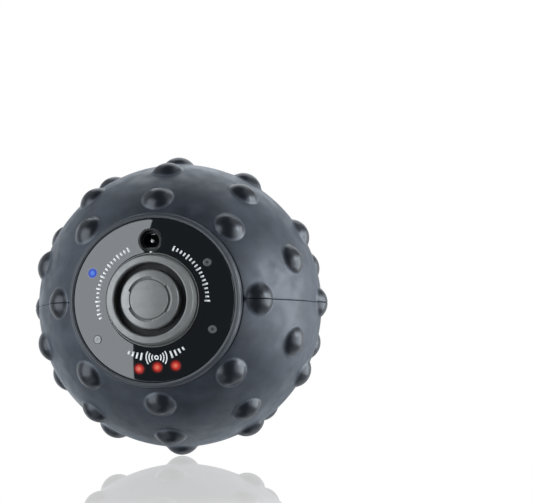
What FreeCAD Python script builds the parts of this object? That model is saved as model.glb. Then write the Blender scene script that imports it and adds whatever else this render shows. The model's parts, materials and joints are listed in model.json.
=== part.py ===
"""A rechargeable vibrating massage ball, as an assembly of separate pieces (millimetres).

Row frame: origin at the ball's centre, +Z up, and the control panel faces -Y.
Everything is first modelled in the panel's frame, where x is right, y is up and z points
out through the panel, and is turned into the row frame when it is saved.
"""
import FreeCAD, Part
import math
import os
from FreeCAD import Vector

OUT = Vector(0, 0, 1)
UP = Vector(0, 1, 0)
RIGHT = Vector(1, 0, 0)
GAP = 0.05                      # clearance between pieces that are fixed together

# Skin and shells
skin_radius = 59.8
skin_inner_radius = 55.5
shell_radius = 55.4
shell_inner_radius = 53.0
seam_gap = 0.05                 # half the gap in the parting line
seam_turn = 12.0                # keeps the sphere's own edge off the bumps' centres, degrees
bump_height = 3.3
bump_base_radius = 6.6
# One entry per ring of bumps: angle from the panel's axis, number of bumps, first azimuth
bump_rings = ((45.0, 8, 0.0), (67.5, 10, 18.0), (90.0, 12, 0.0),
              (112.5, 10, 18.0), (135.0, 8, 0.0), (157.5, 4, 45.0), (180.0, 1, 0.0))

# Front opening and the stack behind the panel (z)
opening_radius = 36.1
flange_top = 42.0
flange_bottom = 39.5
flange_inner_radius = 29.8
carrier_bottom = 42.1
carrier_top = 44.0
carrier_radius = 35.9
board_bottom = 45.0
board_top = 46.6
board_radius = 30.4
screw_distance = 33.2
front_clocking = 2.5            # how far the panel is turned against the skin, degrees

# Panel
panel_radius = 33.4
panel_dome_radius = 143.0
panel_apex = 55.2
panel_thickness = 2.0
collar_radius = 19.2
collar_inner_radius = 15.05
collar_bottom = 49.0
lens_radius = 1.65
lens_turn = 3.9                 # the lens pattern is turned and set to one side on the panel
lens_shift = -0.5
status_lens_x = 23.9
status_lens_y = (13.25, -13.95)
battery_lens_y = -27.3
battery_lens_spacing = 7.6

# Button
button_radius = 12.1
button_dome_radius = 33.0
button_apex = 61.6
cap_radius = 7.9
slot_outer_radius = 9.2
slot_angle = 76.0
shelf_top = 59.5
shelf_bottom = 57.1
cap_gap = 0.28
flange_radius = 14.6
guide_bottom = 52.55

# Charging socket
jack_distance = 24.4
jack_azimuth = 90.0
jack_outer_radius = 4.6
jack_mouth_radius = 4.0
jack_bore_radius = 3.2
jack_mouth_top = 53.3
jack_mouth_bottom = 49.6

# Chassis, motor and rotor (the motor's axis is x)
plate_inner_x = 13.0
plate_outer_x = 17.0
plate_reach = 38.0
post_x = (plate_inner_x + plate_outer_x) / 2
shell_screw_seat = 50.0
motor_radius = 14.0
motor_half_length = 21.0
damper_radius = 16.5
shaft_radius = 1.6
shaft_half_length = 37.0
bearing_clearance = 0.04
weight_radius = 14.0
weight_inner_x = 26.0
weight_outer_x = 35.0

# Battery pack
cell_radius = 9.2
cell_half_length = 32.2
cell_y = 18.5
cell_z = -20.5
lead_radius = 0.7


# ---------------------------------------------------------------- helpers
def cylinder(radius, start, end, x=0.0, y=0.0):
    """A cylinder along z from start to end."""
    return Part.makeCylinder(radius, end - start, Vector(x, y, start), OUT)


def rod(radius, start, end, y=0.0, z=0.0):
    """A cylinder along x from start to end."""
    return Part.makeCylinder(radius, end - start, Vector(start, y, z), RIGHT)


def tube(outer, inner, start, end, x=0.0, y=0.0):
    return cylinder(outer, start, end, x, y).cut(cylinder(inner, start - 1, end + 1, x, y))


def sleeve(outer, inner, start, end, y=0.0, z=0.0):
    return rod(outer, start, end, y, z).cut(rod(inner, start - 1, end + 1, y, z))


def block(low, high):
    """A box between two opposite corners."""
    size = [b - a for a, b in zip(low, high)]
    return Part.makeBox(size[0], size[1], size[2], Vector(*low))


def ball(radius, centre=Vector(0, 0, 0)):
    return Part.makeSphere(radius, centre)


def seamless_ball(radius, centre, outward):
    """A sphere whose poles lie sideways and whose seam faces away from the outward direction."""
    sphere = ball(radius)
    inward = -outward
    sideways = inward.cross(Vector(0.31, 0.83, 0.46))
    sphere.Placement = FreeCAD.Placement(centre, FreeCAD.Rotation(inward, sideways, Vector(), "XYZ"))
    return sphere


def dome(radius, apex):
    """A full sphere whose highest point on z is apex."""
    return ball(radius, Vector(0, 0, apex - radius))


def turned_profile(points):
    """Revolve a closed (radius, z) outline about z."""
    corners = [Vector(r, 0, z) for r, z in points]
    face = Part.Face(Part.makePolygon(corners + corners[:1]))
    return face.revolve(Vector(0, 0, 0), OUT, 360)


def sector(radius, start, end, first, last):
    """A pie slice about z between two azimuths in degrees."""
    slice_ = Part.makeCylinder(radius, end - start, Vector(0, 0, start), OUT, last - first)
    slice_.rotate(Vector(0, 0, 0), OUT, first)
    return slice_


def on_panel(distance, azimuth):
    """x and y of a panel feature, turned with the panel's clocking."""
    angle = math.radians(azimuth + front_clocking)
    return distance * math.cos(angle), distance * math.sin(angle)


def panel_height(distance):
    """z of the panel's outer surface at a distance from its axis."""
    return panel_apex - panel_dome_radius + math.sqrt(panel_dome_radius ** 2 - distance ** 2)


def lead(points):
    """A round lead along straight runs joined by tangent arcs, as large as its runs allow."""
    points = [Vector(*p) for p in points]
    edges = []
    start = points[0]
    for before, corner, after in zip(points, points[1:], points[2:]):
        back = (before - corner).normalize()
        ahead = (after - corner).normalize()
        half_turn = (math.pi - back.getAngle(ahead)) / 2
        reach = 0.45 * min((before - corner).Length, (after - corner).Length)
        radius = reach / math.tan(half_turn)
        bisector = (back + ahead).normalize()
        middle = corner + bisector * (radius / math.cos(half_turn) - radius)
        enter = corner + back * reach
        leave = corner + ahead * reach
        edges.append(Part.LineSegment(start, enter).toShape())
        edges.append(Part.Arc(enter, middle, leave).toShape())
        start = leave
        print("lead arc radius %.1f" % radius)
    edges.append(Part.LineSegment(start, points[-1]).toShape())
    path = Part.Wire(edges)
    section = Part.Wire([Part.makeCircle(lead_radius, points[0], points[1] - points[0])])
    return path.makePipeShell([section], True, False)


def grouped(solids):
    return Part.makeCompound(solids)


def save(name, shape):
    """Turn a shape into the row frame and write it."""
    placed = shape.copy()
    placed.rotate(Vector(0, 0, 0), RIGHT, 90)
    placed.exportStep("parts/%s.step" % name)
    print("%-24s %2d solid(s) %10.1f mm3 %s" % (name, len(placed.Solids), placed.Volume, placed.isValid()))


def upper_half(size=80.0):
    return block((-size, seam_gap, -size), (size, size, size))


def lower_half(size=80.0):
    return block((-size, -size, -size), (size, -seam_gap, size))


def mirrored_y(shape):
    return shape.mirror(Vector(0, 0, 0), UP)


def mirrored_x(shape):
    return shape.mirror(Vector(0, 0, 0), RIGHT)


# ---------------------------------------------------------------- skin and shells
def bumps():
    """Round domes on rings about the panel's axis."""
    base_level = math.sqrt(skin_radius ** 2 - bump_base_radius ** 2)
    rise = skin_radius + bump_height - base_level
    dome_radius = (bump_base_radius ** 2 + rise ** 2) / (2 * rise)
    distance = skin_radius + bump_height - dome_radius
    solids = []
    for polar, count, first in bump_rings:
        for index in range(count):
            azimuth = math.radians(first + index * 360.0 / count)
            ring = distance * math.sin(math.radians(polar))
            height = distance * math.cos(math.radians(polar))
            centre = Vector(ring * math.cos(azimuth), ring * math.sin(azimuth), height)
            solids.append(seamless_ball(dome_radius, centre, centre))
    return solids


def make_skins():
    # The sphere's poles are put inside the top and bottom bumps
    surface = ball(skin_radius)
    seam_side = Vector(math.sin(math.radians(seam_turn)), 0, math.cos(math.radians(seam_turn)))
    surface.Placement = FreeCAD.Placement(Vector(), FreeCAD.Rotation(seam_side, Vector(), UP, "XZY"))
    skin = surface.multiFuse(bumps())
    skin = skin.cut(ball(skin_inner_radius))
    skin = skin.cut(cylinder(opening_radius, 0, 80))
    save("upper_skin", skin.common(upper_half()))
    save("lower_skin", skin.common(lower_half()))


def carrier_screw_places():
    """x and y of the screws that hold the carrier to the shells' flange."""
    angles = [math.radians(azimuth) for azimuth in (45.0, 135.0, 225.0, 315.0)]
    return [(screw_distance * math.cos(a), screw_distance * math.sin(a)) for a in angles]


def make_shells():
    wall = ball(shell_radius).cut(ball(shell_inner_radius))
    flange = tube(39.0, flange_inner_radius, flange_bottom, flange_top)
    for x, y in carrier_screw_places():
        flange = flange.fuse(cylinder(3.0, 33.5, flange_bottom + 0.5, x, y))
    wall = wall.fuse(flange.common(ball(shell_radius)))
    wall = wall.cut(block((-80, -80, flange_top), (80, 80, 80)))
    for x, y in carrier_screw_places():
        wall = wall.cut(cylinder(1.3, 30, 50, x, y))
    posts = []
    holes = []
    for x in (-post_x, post_x):
        posts.append(Part.makeCylinder(4.5, 16, Vector(x, plate_reach + 0.1, 0), UP))
        holes.append(Part.makeCylinder(1.7, 40, Vector(x, 30, 0), UP))
        holes.append(Part.makeCylinder(3.0, 20, Vector(x, shell_screw_seat, 0), UP))
    posts = grouped(posts).common(ball(shell_radius))
    holes = grouped(holes)
    upper = wall.common(upper_half()).fuse(posts).cut(holes)
    lower = wall.common(lower_half()).fuse(mirrored_y(posts)).cut(mirrored_y(holes))
    # Tongue on the lower half, groove in the upper half, both clear of the front flange
    tongue = Part.makeCylinder(54.5, 1.3, Vector(0, -0.3, 0), UP)
    tongue = tongue.cut(Part.makeCylinder(53.9, 3, Vector(0, -1, 0), UP))
    tongue = tongue.cut(block((-80, -10, 38.0), (80, 10, 80)))
    groove = Part.makeCylinder(54.6, 1.15, Vector(0, 0, 0), UP)
    groove = groove.cut(Part.makeCylinder(53.8, 3, Vector(0, -1, 0), UP))
    groove = groove.cut(block((-80, -10, 38.5), (80, 10, 80)))
    save("upper_shell", upper.cut(groove))
    save("lower_shell", lower.fuse(tongue))


def make_shell_screws():
    screws = []
    for x in (-post_x, post_x):
        head = Part.makeCylinder(2.8, 1.9, Vector(x, shell_screw_seat + GAP, 0), UP)
        shank = Part.makeCylinder(1.45, 19, Vector(x, shell_screw_seat + GAP - 19, 0), UP)
        drive = Part.makeCylinder(1.2, 1.2, Vector(x, shell_screw_seat + GAP + 0.9, 0), UP)
        screws.append(head.fuse(shank).cut(drive))
    save("shell_screws", grouped(screws + [mirrored_y(s) for s in screws]))


# ---------------------------------------------------------------- front stack
def board_screw_places():
    return [on_panel(24.0, azimuth) for azimuth in (60.0, 180.0, 300.0)]


def make_front_carrier():
    plate = cylinder(carrier_radius, carrier_bottom, carrier_top)
    for x, y in board_screw_places():
        plate = plate.fuse(cylinder(2.4, carrier_top - 0.5, board_bottom - GAP, x, y))
    for x, y in board_screw_places():
        plate = plate.cut(cylinder(0.9, 40, 50, x, y))
    for x, y in carrier_screw_places():
        plate = plate.cut(cylinder(1.5, 40, 50, x, y))
    jack_x, jack_y = on_panel(jack_distance, jack_azimuth)
    plate = plate.cut(cylinder(5.2, 40, 50, jack_x, jack_y))
    lead_slot = block((-9, -21, 40), (9, -15, 50))
    save("front_carrier", plate.cut(lead_slot))


def pan_head_screw(x, y, seat, head_radius, head_height, shank_radius, length):
    head = cylinder(head_radius, seat, seat + head_height, x, y)
    top_edges = [e for e in head.Edges if e.BoundBox.ZMin > seat + head_height - 0.01]
    head = head.makeFillet(head_height * 0.4, top_edges)
    shank = cylinder(shank_radius, seat - length, seat, x, y)
    drive = block((x - 0.3, y - head_radius, seat + head_height * 0.55),
                  (x + 0.3, y + head_radius, seat + head_height + 1))
    return head.fuse(shank).cut(drive)


def make_front_screws():
    screws = []
    for x, y in carrier_screw_places():
        screws.append(pan_head_screw(x, y, carrier_top + GAP, 2.1, 1.6, 1.25, 8.5))
    save("carrier_screws", grouped(screws))
    screws = [pan_head_screw(x, y, board_top + GAP, 1.9, 1.3, 0.85, 4.0) for x, y in board_screw_places()]
    save("board_screws", grouped(screws))


def make_bezel_ring():
    outline = ((35.5, carrier_top + GAP), (36.0, carrier_top + GAP), (36.0, 47.9), (35.85, 49.4),
               (35.45, 50.4), (34.85, 50.95), (34.2, 51.15), (33.7, 51.0), (33.55, 50.7),
               (33.55, 49.1), (31.5, 49.1), (31.5, 46.2), (35.5, 46.2))
    save("bezel_ring", turned_profile(outline))


def lens_places():
    """x and y of the four status lenses, the lit one first, and then of the battery lenses."""
    flat = [(side * status_lens_x, y) for y in status_lens_y for side in (-1, 1)]
    flat += [(step * battery_lens_spacing, battery_lens_y) for step in (-1, 0, 1)]
    turn = FreeCAD.Rotation(OUT, lens_turn)
    places = [turn.multVec(Vector(x + lens_shift, y, 0)) for x, y in flat]
    return [(place.x, place.y) for place in places]


def make_front_panel():
    disc = cylinder(panel_radius, 40, 60).common(dome(panel_dome_radius, panel_apex))
    disc = disc.cut(dome(panel_dome_radius - panel_thickness, panel_apex - panel_thickness))
    disc = disc.cut(cylinder(collar_radius + 0.1, 40, 60))
    for x, y in lens_places():
        disc = disc.cut(cylinder(lens_radius + GAP, 40, 60, x, y))
    jack_x, jack_y = on_panel(jack_distance, jack_azimuth)
    save("front_panel", disc.cut(cylinder(jack_outer_radius + GAP, 40, 60, jack_x, jack_y)))


def make_lenses():
    """Light pipes: a round face flush with the panel and a flange under it."""
    lenses = []
    for x, y in lens_places():
        top = panel_height(math.hypot(x, y)) + 0.05
        pipe = cylinder(lens_radius, 48.5, top, x, y)
        rim = [e for e in pipe.Edges if e.BoundBox.ZMin > top - 0.01]
        pipe = pipe.makeFillet(0.25, rim)
        lenses.append(pipe.fuse(cylinder(2.2, 48.7, 49.7, x, y)))
    save("status_lens_lit", lenses[0])
    save("status_lenses", grouped(lenses[1:4]))
    save("battery_lenses", grouped(lenses[4:]))


def make_leds():
    chips = []
    for x, y in lens_places():
        chip = block((x - 0.8, y - 0.8, board_top + GAP), (x + 0.8, y + 0.8, board_top + 0.85))
        chips.append(chip)
    save("status_leds", grouped(chips[:4]))
    save("battery_leds", grouped(chips[4:]))


def make_button_collar():
    # A steep wall carries a nearly flat face, and a fine groove parts it from a lip on the panel
    face = ((collar_inner_radius, 58.75), (15.2, 59.15), (15.55, 59.35), (17.2, 59.2), (17.6, 59.0),
            (17.85, 58.55))
    lip = ((18.35, 54.4), (18.45, 53.4), (18.85, 53.4), (18.85, 54.0), (19.0, 54.15), (19.15, 54.1),
           (collar_radius, 53.95))
    outline = ((collar_inner_radius, collar_bottom),) + face + lip
    outline += ((collar_radius, 50.8), (21.5, 50.8), (21.5, collar_bottom))
    # The flange and its gasket are notched where the charging socket passes
    jack_x, jack_y = on_panel(jack_distance, jack_azimuth)
    notch = cylinder(jack_outer_radius + 0.2, 40, 52.5, jack_x, jack_y)
    save("button_collar", turned_profile(outline).cut(notch))
    save("collar_gasket", tube(21.4, collar_radius + GAP, 50.85, 51.5).cut(notch))
    guide = tube(collar_inner_radius - GAP, button_radius + 0.25, guide_bottom, 54.2)
    save("button_guide", guide)


def make_button():
    outer = button_radius
    hole = cap_radius + cap_gap
    outline = ((5.0, shelf_bottom), (10.9, shelf_bottom), (10.9, 51.5), (flange_radius, 51.5),
               (flange_radius, 52.5), (outer, 52.5), (outer, 59.0), (11.45, 59.65), (11.45, 62.0),
               (hole, 62.0), (hole, shelf_top), (5.0, shelf_top))
    ring = turned_profile(outline).common(dome(button_dome_radius, button_apex))
    for middle in (0.0, 120.0, 240.0):
        first = middle - slot_angle / 2
        pie = sector(slot_outer_radius, shelf_top, 63, first, first + slot_angle)
        ring = ring.cut(pie.cut(cylinder(cap_radius, 50, 64)))
    save("button_ring", ring)
    cap = cylinder(cap_radius, shelf_top + GAP, 63).common(dome(button_dome_radius, button_apex))
    cap = cap.fuse(cylinder(4.85, shelf_bottom - 0.6, shelf_top + 0.5))
    save("button_cap", cap.fuse(cylinder(2.4, 51.4, shelf_bottom)))


def make_button_spring():
    """A coil spring around the switch, from the board up to the button's shelf."""
    wire = 0.3
    mean_radius = 6.4
    height = shelf_bottom - board_top - 0.2 - 2 * wire
    helix = Part.makeHelix(height / 4, height, mean_radius)
    start = Vector(mean_radius, 0, 0)
    section = Part.Wire([Part.makeCircle(wire, start, Vector(0, 1, 0))])
    spring = Part.Wire(helix.Edges).makePipeShell([section], True, True)
    spring.translate(Vector(0, 0, board_top + 0.05 + wire))
    save("button_spring", spring)


def make_switch():
    body = block((-3.1, -3.1, board_top + GAP), (3.1, 3.1, 50.2))
    body = body.cut(cylinder(1.85, 47.8, 52))
    save("switch_body", body)
    save("switch_plunger", cylinder(1.75, 48.4, 51.35))


def make_board():
    board = cylinder(board_radius, board_bottom, board_top)
    for x, y in board_screw_places():
        board = board.cut(cylinder(1.1, 40, 50, x, y))
    jack_x, jack_y = on_panel(jack_distance, jack_azimuth)
    save("main_board", board.cut(cylinder(4.9, 40, 50, jack_x, jack_y)))


def make_board_parts():
    seat = board_top + GAP
    controller = block((-12.0, 7.0, seat), (-7.0, 12.0, seat + 1.0))
    driver = block((8.0, -11.5, seat), (12.0, -6.5, seat + 1.5))
    charger = block((-20.0, -9.0, seat), (-15.5, -4.0, seat + 1.5))
    diode = block((16.0, 3.0, seat), (20.0, 6.0, seat + 1.4))
    save("board_chips", grouped([controller, driver, charger, diode]))
    cans = [cylinder(1.9, seat, seat + 3.2, 9.0, 8.0), cylinder(1.9, seat, seat + 3.2, -9.0, -8.0)]
    save("board_capacitors", grouped(cans))


def make_jack():
    x, y = on_panel(jack_distance, jack_azimuth)
    save("jack_ferrule", tube(jack_outer_radius, jack_mouth_radius, jack_mouth_bottom, jack_mouth_top, x, y))
    body = cylinder(4.5, 38.5, jack_mouth_bottom - GAP, x, y)
    save("jack_body", body.cut(cylinder(jack_bore_radius, 40.5, 60, x, y)))
    pin = cylinder(1.0, 40.55, 48.0, x, y)
    tip = [e for e in pin.Edges if e.BoundBox.ZMin > 47.9]
    save("jack_pin", pin.makeFillet(0.5, tip))
    save("jack_sleeve_contact", block((x - 0.9, y + 2.6, 40.6), (x + 0.9, y + 2.9, 47.0)))


# ---------------------------------------------------------------- chassis and motor
def make_chassis():
    def plate(start, end):
        shape = rod(21.0, start, end)
        for y in (-cell_y, cell_y):
            shape = shape.fuse(rod(12.3, start, end, y, cell_z))
        shape = shape.fuse(block((start, -plate_reach, -7), (end, plate_reach, 7)))
        shape = shape.fuse(block((start, -9, -32), (end, 9, -10)))
        shape = shape.cut(rod(damper_radius + 0.1, start - 1, end + 1))
        for y in (-cell_y, cell_y):
            shape = shape.cut(rod(cell_radius + 0.1, start - 1, end + 1, y, cell_z))
        middle = (start + end) / 2
        for sign in (-1, 1):
            hole = Part.makeCylinder(1.5, 9, Vector(middle, sign * 30, 0), Vector(0, sign, 0))
            shape = shape.cut(hole)
        return shape
    save("chassis_plate_left", plate(-plate_outer_x, -plate_inner_x))
    save("chassis_plate_right", plate(plate_inner_x, plate_outer_x))
    for name, middle in (("motor_damper_left", -post_x), ("motor_damper_right", post_x)):
        save(name, sleeve(damper_radius, motor_radius + GAP, middle - 2.5, middle + 2.5))


def make_motor():
    end = motor_half_length
    can = rod(motor_radius, -end, 17.0).cut(rod(13.1, -end + 1.2, 18.0))
    save("motor_can", can.cut(rod(3.0, -end - 1, end)))
    cap = rod(13.05, 14.0, 17.0).fuse(rod(motor_radius, 17.05, end)).fuse(rod(13.0, 16.5, 17.5))
    save("motor_end_cap", cap.cut(rod(3.0, 10, end + 1)))
    bush_inner = shaft_radius + bearing_clearance
    save("motor_bearing_left", sleeve(2.95, bush_inner, -end - 2, -end + 2))
    save("motor_bearing_right", sleeve(2.95, bush_inner, end - 5, end + 2))
    magnet = sleeve(13.0, 10.6, -12, 11).common(block((-15, 2.5, -20), (15, 20, 20)))
    save("motor_magnets", grouped([magnet, mirrored_y(magnet)]))
    brush = block((11.6, 4.0, -1.5), (13.9, 6.6, 1.5))
    save("motor_brushes", grouped([brush, mirrored_y(brush)]))
    terminal = block((end + GAP, 8.75, -1.2), (24.2, 9.25, 1.2))
    save("motor_terminals", grouped([terminal, mirrored_y(terminal)]))


def make_rotor():
    bore = shaft_radius + GAP
    save("motor_shaft", rod(shaft_radius, -shaft_half_length, shaft_half_length))
    core = sleeve(10.2, bore, -9, 8)
    slots = []
    for azimuth in (90.0, 210.0, 330.0):
        slot = rod(2.6, -10, 9, 6.2).fuse(block((-10, 6.2, -0.8), (9, 12, 0.8)))
        slot.rotate(Vector(0, 0, 0), RIGHT, azimuth)
        slots.append(slot)
    save("armature_core", core.cut(grouped(slots)))
    winding = sleeve(8.6, 2.6, -12, -9.05).fuse(sleeve(8.6, 2.6, 8.05, 10.4))
    for azimuth in (90.0, 210.0, 330.0):
        strand = rod(2.5, -10, 9, 6.2)
        strand.rotate(Vector(0, 0, 0), RIGHT, azimuth)
        winding = winding.fuse(strand)
    save("armature_windings", winding)
    save("commutator", sleeve(3.8, bore, 10.5, 13.8))
    # Half-disc weights, heavy side down at rest, each with a set screw in its hub
    middle = (weight_inner_x + weight_outer_x) / 2
    weight = rod(weight_radius, weight_inner_x, weight_outer_x)
    weight = weight.common(block((0, -20, -20), (50, 0, 20)))
    weight = weight.fuse(rod(5.5, weight_inner_x, weight_outer_x))
    weight = weight.cut(rod(bore, 20, 40))
    weight = weight.cut(Part.makeCylinder(1.05, 10, Vector(middle, 0, 0), UP))
    screw = Part.makeCylinder(1.0, 3.6, Vector(middle, shaft_radius + GAP, 0), UP)
    screw = screw.cut(Part.makeCylinder(0.5, 2, Vector(middle, 4.2, 0), UP))
    save("eccentric_weight_right", weight)
    save("eccentric_weight_left", mirrored_x(weight))
    save("weight_set_screws", grouped([screw, mirrored_x(screw)]))


# ---------------------------------------------------------------- battery pack
def make_cells():
    for name, y in (("cell_upper", cell_y), ("cell_lower", -cell_y)):
        can = rod(cell_radius, -cell_half_length, cell_half_length, y, cell_z)
        rims = [e for e in can.Edges if e.BoundBox.XLength < 0.01]
        can = can.makeFillet(0.8, rims)
        save(name, can.fuse(rod(2.9, cell_half_length - 1, cell_half_length + 0.3, y, cell_z)))


def make_pack_parts():
    cross = block((32.55, -22, -23.5), (32.75, 22, -17.5))
    drop = block((32.55, -3, -32.1), (32.75, 3, -17.5))
    tail = block((18.5, -3, -32.1), (32.75, 3, -31.9))
    strip = cross.fuse(drop).fuse(tail)
    save("nickel_strip_right", strip)
    save("nickel_strip_left", mirrored_x(strip))
    reach = plate_inner_x - 0.1
    save("pack_tray", block((-reach, -8, -32.1), (reach, 8, -30.1)))
    save("protection_board", block((-20, -9, -33.3), (20, 9, -32.15)))
    chips = [block((x - 2.5, -2.0, -34.6), (x + 2.5, 2.0, -33.35)) for x in (-9.0, 0.0, 9.0)]
    save("protection_chips", grouped(chips))


def make_leads():
    tab_x = 22.8
    board_end = board_bottom - GAP
    save("motor_lead_positive", lead(((tab_x, 9, 1.25), (tab_x, 9, 20), (6, -18, 36), (6, -18, board_end))))
    save("motor_lead_negative", lead(((tab_x, -9, 1.25), (tab_x, -9, 20), (2, -18, 36), (2, -18, board_end))))
    for name, side, board_x, front in (("cell_lead_positive", 1, -2, 26), ("cell_lead_negative", -1, -6, 28)):
        save(name, lead(((-8, side * 9.1, -32.7), (-8, side * 27, -32.7), (-8, side * 33, -6),
                         (-8, side * front, 20), (board_x, -18, 38), (board_x, -18, board_end))))


os.makedirs("parts", exist_ok=True)
make_skins()
make_shells()
make_shell_screws()
make_front_carrier()
make_front_screws()
make_bezel_ring()
make_front_panel()
make_lenses()
make_leds()
make_button_collar()
make_button()
make_button_spring()
make_switch()
make_board()
make_board_parts()
make_jack()
make_chassis()
make_motor()
make_rotor()
make_cells()
make_pack_parts()
make_leads()
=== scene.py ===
"""Looks of the massage ball: fine meshes for what shows, procedural materials, light and camera.

Shapes are worked out in millimetres in the panel's frame: x right, y up, w outward along -Y,
r the distance from the panel's axis. place() turns them into metres in the row frame.
"""
import json
import math
import bpy
from mathutils import Matrix, Vector
from mathutils.geometry import delaunay_2d_cdt


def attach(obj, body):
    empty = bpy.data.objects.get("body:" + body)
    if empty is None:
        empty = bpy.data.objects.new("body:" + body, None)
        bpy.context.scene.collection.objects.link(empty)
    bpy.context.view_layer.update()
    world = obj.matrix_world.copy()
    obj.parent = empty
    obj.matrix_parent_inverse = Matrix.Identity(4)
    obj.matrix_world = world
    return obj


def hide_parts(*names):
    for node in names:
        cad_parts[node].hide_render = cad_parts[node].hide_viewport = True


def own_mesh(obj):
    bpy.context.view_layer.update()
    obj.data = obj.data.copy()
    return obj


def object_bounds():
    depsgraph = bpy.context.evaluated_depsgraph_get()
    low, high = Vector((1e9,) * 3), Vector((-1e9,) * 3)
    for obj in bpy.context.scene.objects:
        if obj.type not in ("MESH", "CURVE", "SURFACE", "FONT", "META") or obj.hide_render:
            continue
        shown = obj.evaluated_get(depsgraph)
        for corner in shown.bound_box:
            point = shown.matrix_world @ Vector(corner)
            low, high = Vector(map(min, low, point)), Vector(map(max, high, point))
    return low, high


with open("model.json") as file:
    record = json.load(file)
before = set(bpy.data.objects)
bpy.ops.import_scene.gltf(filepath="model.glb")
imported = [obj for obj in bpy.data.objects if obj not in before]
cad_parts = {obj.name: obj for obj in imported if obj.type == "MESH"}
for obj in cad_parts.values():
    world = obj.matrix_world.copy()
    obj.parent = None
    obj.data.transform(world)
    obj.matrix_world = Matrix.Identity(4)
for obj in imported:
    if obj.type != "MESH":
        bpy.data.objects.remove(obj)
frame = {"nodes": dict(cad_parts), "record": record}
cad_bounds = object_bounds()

MM = 0.001
BALL = "ball"
BUTTON = "button"

# Skin
SKIN_RADIUS = 59.8
SKIN_INNER_RADIUS = 55.5
BUMP_HEIGHT = 3.28      # 0.02 below the CAD's, to stay inside its box
BUMP_BASE_RADIUS = 6.6
BUMP_FILLET = 1.4
# Angle from the panel's axis, number of bumps, first azimuth
BUMP_RINGS = ((45.0, 8, 0.0), (67.5, 10, 18.0), (90.0, 12, 0.0),
              (112.5, 10, 18.0), (135.0, 8, 0.0), (157.5, 4, 45.0), (180.0, 1, 0.0))
SEAM_HALF_GAP = 0.05
SEAM_ROUNDING = 0.35
OPENING_RADIUS = 36.1
OPENING_ROUNDING = 0.5

# Panel and what is on it
FRONT_CLOCKING = 2.5
PANEL_RADIUS = 33.4
PANEL_DOME_RADIUS = 143.0
PANEL_APEX = 55.2
PANEL_THICKNESS = 2.0
COLLAR_RADIUS = 19.2
LENS_RADIUS = 1.65
LENS_TURN = 3.9
LENS_SHIFT = -0.5
LENS_PROUD = 0.05
STATUS_X = 23.9
STATUS_Y = (13.25, -13.95)
BATTERY_Y = -27.3
BATTERY_SPACING = 7.6
JACK_DISTANCE = 24.4
JACK_AZIMUTH = 90.0
JACK_RADIUS = 4.6
JACK_MOUTH_RADIUS = 4.0
BUTTON_RADIUS = 12.1
BUTTON_DOME_RADIUS = 33.0
BUTTON_APEX = 61.6
CAP_RADIUS = 7.9
CAP_GAP = 0.28
SLOT_OUTER_RADIUS = 9.2
SLOT_ANGLE = 76.0
SHELF_TOP = 59.5
SHELF_BOTTOM = 57.1
SPRING_FOOT = 46.65
SPRING_TOP = 56.95
SPRING_RADIUS = 6.4
SPRING_WIRE = 0.3
SPRING_TURNS = 4


# ---------------------------------------------------------------- small helpers
def place(x, y, w):
    """A point of the panel's frame, in metres in the row frame."""
    return Vector((x * MM, -w * MM, y * MM))


def on_panel(distance, azimuth):
    """x and y of a panel feature, turned with the panel."""
    angle = math.radians(azimuth + FRONT_CLOCKING)
    return distance * math.cos(angle), distance * math.sin(angle)


def dome_height(radius, apex, distance):
    """Height of a dome at a distance from its axis."""
    return apex - radius + math.sqrt(radius ** 2 - distance ** 2)


def panel_height(distance):
    return dome_height(PANEL_DOME_RADIUS, PANEL_APEX, distance)


def button_height(distance):
    return dome_height(BUTTON_DOME_RADIUS, BUTTON_APEX, distance)


def edge_drop(offset, rounding):
    """How far a rounded edge lies below its surface, at an offset from the edge."""
    if offset >= rounding:
        return 0.0
    return rounding - math.sqrt(rounding ** 2 - (rounding - max(0.0, offset)) ** 2)


def triangles(flat, keep):
    """Delaunay triangles of points in a plane, counterclockwise, where keep(centre) is true."""
    result = delaunay_2d_cdt([Vector(p) for p in flat], [], [], 0, 1e-7)
    origin = [group[0] for group in result[3]]
    faces = []
    for face in result[2]:
        corners = [origin[i] for i in face]
        a, b, c = (flat[i] for i in corners)
        centre = ((a[0] + b[0] + c[0]) / 3, (a[1] + b[1] + c[1]) / 3)
        if keep(centre):
            area = (b[0] - a[0]) * (c[1] - a[1]) - (c[0] - a[0]) * (b[1] - a[1])
            faces.append(corners if area > 0 else corners[::-1])
    return faces


def make_piece(name, vertices, faces, material, body, replaces=(), weighted=True):
    """A smooth-shaded mesh that rides on a body and stands for CAD nodes."""
    mesh = bpy.data.meshes.new(name)
    mesh.from_pydata([tuple(v) for v in vertices], [], faces)
    mesh.polygons.foreach_set("use_smooth", [True] * len(mesh.polygons))
    mesh.materials.append(material)
    mesh.update()
    piece = bpy.data.objects.new(name, mesh)
    bpy.context.scene.collection.objects.link(piece)
    if weighted:
        modifier = piece.modifiers.new("flat faces stay flat", "WEIGHTED_NORMAL")
        modifier.weight = 100
    if replaces:
        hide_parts(*replaces)
    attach(piece, body)
    return piece


def rounded(corners, steps=6):
    """An outline from (r, w, rounding) corners, with an arc at each corner that has a rounding."""
    outline = []
    count = len(corners)
    for index, (r, w, rounding) in enumerate(corners):
        here = Vector((r, w))
        if rounding <= 0:
            outline.append((r, w))
            continue
        back = (Vector(corners[index - 1][:2]) - here).normalized()
        ahead = (Vector(corners[(index + 1) % count][:2]) - here).normalized()
        half = back.angle(ahead) / 2
        reach = rounding / math.tan(half)
        centre = here + (back + ahead).normalized() * (rounding / math.sin(half))
        start = here + back * reach - centre
        turn = math.pi - 2 * half
        sign = 1.0 if back.cross(ahead) < 0 else -1.0
        for step in range(steps + 1):
            arm = Matrix.Rotation(sign * turn * step / steps, 2) @ start
            outline.append(tuple(centre + arm))
    return outline


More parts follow.
